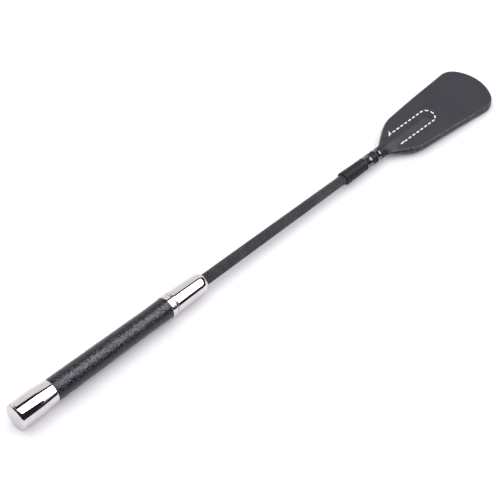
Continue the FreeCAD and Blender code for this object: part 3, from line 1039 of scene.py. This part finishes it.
for side, name, overhang in ((1, "top", 0.30), (-1, "bottom", 0.75)):
    shape = ply(side, overhang)
    shape.from_mesh(tail(side))
    keeper = laid_down("keeper_ply_" + name, shape, keeper_leather, 50.0)
    across_flex(keeper)
    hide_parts("keeper_" + name + "_root", "keeper_" + name + "_blade")


# Stitching: stout white waxed thread, saddle-stitched in a U round the rod's tip through both plies.
# Each stitch rises from one hole and dives into the next. The ends are back-stitched, one with a short tail.

def white_thread():
    finish = Finish("stitch_thread")
    plies = twisted_plies(finish, 1.1)
    soil = finish.noise(finish.place, 900.0, 3.0)
    return finish.surfaced(
        # Painted shade and highlight: the colour is darker between the twisted plies and lighter on their crests;
        # soil varies it too.
        Base_Color=finish.mixed(plies * 0.5 + soil * 0.5, (0.80, 0.80, 0.80, 1), (0.95, 0.95, 0.95, 1)),
        Roughness=0.55 + soil * 0.2,
        Normal=finish.relief(plies, 0.00008, 0.8),
    )


stitch_thread = white_thread()


def straight_lines(name, places):
    """A curve that runs straight from each place to the next."""
    curve = bpy.data.curves.new(name, "CURVE")
    curve.dimensions = "3D"
    spline = curve.splines.new("POLY")
    spline.points.add(len(places) - 1)
    for point, place in zip(spline.points, places):
        point.co = (*place, 1)
    return curve


def stitched(side):
    """The visible stitches of one face, spaced evenly along a filleted U, as a plain mesh in mm."""
    height = side * (ply_face - 0.10)
    corners = [(stitch_start, 1), (stitch_apex, 1), (stitch_apex, -1), (stitch_start, -1)]
    path = straight_lines("u_line", [(x, hand * stitch_half_gauge, height) for x, hand in corners])
    shape = Shape("stitches")
    gauge = shape.size("Half gauge", stitch_half_gauge * 0.998)
    count = shape.count("Stitches", stitch_count)
    length = shape.size("Stitch length", stitch_length)
    radius = shape.size("Thread radius", stitch_radius)
    arch = shape.size("Arch", side * 0.55)
    bent = shape.add("GeometryNodeFilletCurve", {"mode": "POLY"}, {
        "Curve": shape.start, "Radius": gauge, "Count": 24, "Limit Radius": True})
    spots = shape.add("GeometryNodeCurveToPoints", {"mode": "COUNT"}, {"Curve": bent, "Count": count})
    line = shape.add("GeometryNodeCurvePrimitiveLine", {"mode": "POINTS"}, {
        "Start": (-0.5, 0, 0), "End": (0.5, 0, 0)})
    line = shape.add("GeometryNodeResampleCurve", None, {"Curve": line, "Count": 11})
    share = shape.add("GeometryNodeSplineParameter", output="Factor") * 2 - 1
    hump = (1 - share * share * share * share) * arch - arch * 0.55
    stitch = shape.add("GeometryNodeSetPosition", None, {
        "Geometry": line, "Position": shape.at(0.0, hump, share * length * 0.5)})
    stitch = threaded(shape, stitch, radius, 10)
    laid = shape.add("GeometryNodeInstanceOnPoints", None, {
        "Points": spots, "Instance": stitch, "Rotation": spots.other("Rotation")})
    return shape.finished(laid, stitch_thread).grown(path)


def knotted(stitches):
    """Adds the sewing's start and end on the top: a doubled last stitch, and two clipped ends of thread."""
    far_row = (stitch_start, stitch_half_gauge, ply_face + 0.15)
    strands = [(far_row, (-2.6, -0.9, 0.1)), (far_row, (0.9, 2.3, 0.1)),
               ((stitch_start, -stitch_half_gauge, ply_face + 0.25), (2.3, 0.25, 0.2))]
    both = bmesh.new()
    both.from_mesh(stitches)
    for start, run in strands:
        path = straight_lines("strand_line", [start, [a + b for a, b in zip(start, run)]])
        shape = Shape("strand")
        radius = shape.size("Thread radius", stitch_radius * 0.8)
        both.from_mesh(shape.finished(threaded(shape, shape.start, radius, 10), stitch_thread).grown(path))
    both.to_mesh(stitches)
    both.free()
    return stitches


for side, name in ((1, "top"), (-1, "underside")):
    sewn = knotted(stitched(side)) if side > 0 else stitched(side)
    stitches = laid_down("stitches_" + name, sewn, stitch_thread, 70.0)
    across_flex(stitches)
    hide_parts("stitching_" + name)


# Floor: a plain sheet of white studio board, with no edge in sight.
# It is only there for the crop to lie on.

def white_board():
    finish = Finish("floor")
    tooth = finish.noise(finish.place, 900.0, 3.0)
    return finish.surfaced(
        Base_Color=finish.mixed(tooth, (0.88, 0.875, 0.90, 1), (0.90, 0.895, 0.915, 1)),
        Roughness=0.7 + tooth * 0.1,
        Specular_IOR_Level=0.2,
        Normal=finish.relief(tooth, 0.00002, 0.3),
    )


floor_half = 4.0
floor_mesh = bpy.data.meshes.new("floor")
floor_corners = [(-floor_half, -floor_half, 0), (floor_half, -floor_half, 0), (floor_half, floor_half, 0),
                 (-floor_half, floor_half, 0)]
floor_mesh.from_pydata(floor_corners, [], [(0, 1, 2, 3)])
floor_mesh.materials.append(white_board())
floor = put_in_scene("floor", floor_mesh)


# Light: a pale even room with a soft lamp on the far side. What the chrome shows hangs round it:
# a lit softbox overhead with black cloth on all its sides, black screens at the near side, and a low window.

hung_height = 0.8
softbox_far_left = (-0.63, 0.20)
softbox_far_right = (0.62, 0.14)
softbox_near_left = (0.735, -1.264)
softbox_near_right = (0.98, -1.30)
screen_left, screen_right, screen_near, screen_far = -1.6, 2.4, -2.0, 1.3


def hung(name, sheets, **sockets):
    """Flat sheets hung round the crop, given by their corners in metres. They show only in what is glossy."""
    mesh = bpy.data.meshes.new(name)
    corners = [corner for sheet in sheets for corner in sheet]
    firsts = [sum(len(sheet) for sheet in sheets[:n]) for n in range(len(sheets))]
    faces = [tuple(range(first, first + len(sheet))) for first, sheet in zip(firsts, sheets)]
    mesh.from_pydata(corners, [], faces)
    finish = Finish(name)
    mesh.materials.append(finish.surfaced(Specular_IOR_Level=0.0, Roughness=0.9, **sockets))
    sheets_object = put_in_scene(name, mesh)
    sheets_object.visible_camera = False
    sheets_object.visible_diffuse = False
    sheets_object.visible_shadow = False


def level(*corners):
    """A level sheet at the softbox's height."""
    return [(x, y, hung_height) for x, y in corners]


def upright(start, end, low, high):
    """An upright sheet that stands on the line between two places on the floor."""
    return [(*start, low), (*end, low), (*end, high), (*start, high)]


softbox = level(softbox_far_left, softbox_far_right, softbox_near_right, softbox_near_left)
low_window = upright((-0.78, screen_far), (-0.36, screen_far), 0.26, 0.56)
far_cloth = level(softbox_far_left, (-0.10, 1.25), (0.101, 0.60), (0.349, 0.42), (screen_right, 0.50),
                  (screen_right, -0.05), softbox_far_right)
right_cloth = level(softbox_far_right, (screen_right, -0.05), (screen_right, screen_near),
                    (softbox_near_right[0], screen_near), softbox_near_right)
left_cloth = level(softbox_far_left, softbox_near_left, (softbox_near_left[0], screen_near),
                   (screen_left, screen_near), (screen_left, screen_far), (-0.72, screen_far))
near_screen = upright((screen_left, screen_near), (screen_right, screen_near), 0.0, hung_height)
left_screen = upright((screen_left, screen_near), (screen_left, screen_far), 0.0, hung_height)
far_screen = upright((screen_left, screen_far), (-0.36, screen_far), 0.0, 0.26)


def soft_lamp(name, place, size, power):
    """A square of soft light that faces the middle of the crop and makes no reflection of its own."""
    lamp = bpy.data.lights.new(name, "AREA")
    lamp.size = size
    lamp.energy = power
    lamp.color = (1.0, 0.985, 1.0)
    light = put_in_scene(name, lamp)
    light.location = place
    light.rotation_euler = (-light.location).to_track_quat("-Z", "Y").to_euler()
    light.visible_camera = False
    light.visible_glossy = False


def pale_room():
    world = bpy.data.worlds.new("room")
    world.use_nodes = True
    world.node_tree.nodes.clear()
    room = Tree(world.node_tree)
    background = room.add("ShaderNodeBackground", None, {"Color": (1.0, 0.98, 1.0, 1), "Strength": 1.05})
    room.add("ShaderNodeOutputWorld", None, {"Surface": background})
    bpy.context.scene.world = world


hung("softbox", [softbox], Base_Color=(0, 0, 0, 1), Emission_Color=(1, 0.99, 1, 1), Emission_Strength=7.0)
hung("window", [low_window], Base_Color=(0, 0, 0, 1), Emission_Color=(1, 0.99, 1, 1), Emission_Strength=2.5)
hung("black_cloth", [far_cloth, right_cloth, left_cloth, near_screen, left_screen, far_screen],
     Base_Color=(0.026, 0.022, 0.029, 1))
soft_lamp("ceiling", (0.1, 0.1, 1.7), 3.4, 12.0)
soft_lamp("far_lamp", (-0.05, 0.80, 1.10), 1.2, 5.0)
pale_room()
bpy.context.scene.view_settings.view_transform = "Standard"


# Camera: above the butt end and to its near side, looking down along the crop.
# It is rolled a little, so that the crop runs from the lower left to the upper right.

camera_place = Vector((-0.6006, -0.4470, 0.8967))
camera_aim = Vector((-0.0290, -0.0030, 0.0100))
camera_roll = math.radians(8.55)
lens = bpy.data.cameras.new("camera")
lens.sensor_width = 36.0
lens.lens = 106.15
camera = put_in_scene("camera", lens)
camera.location = camera_place
camera.rotation_mode = "QUATERNION"
looking = (camera_aim - camera_place).to_track_quat("-Z", "Y")
camera.rotation_quaternion = looking @ Quaternion((0, 0, 1), camera_roll)
bpy.context.scene.camera = camera
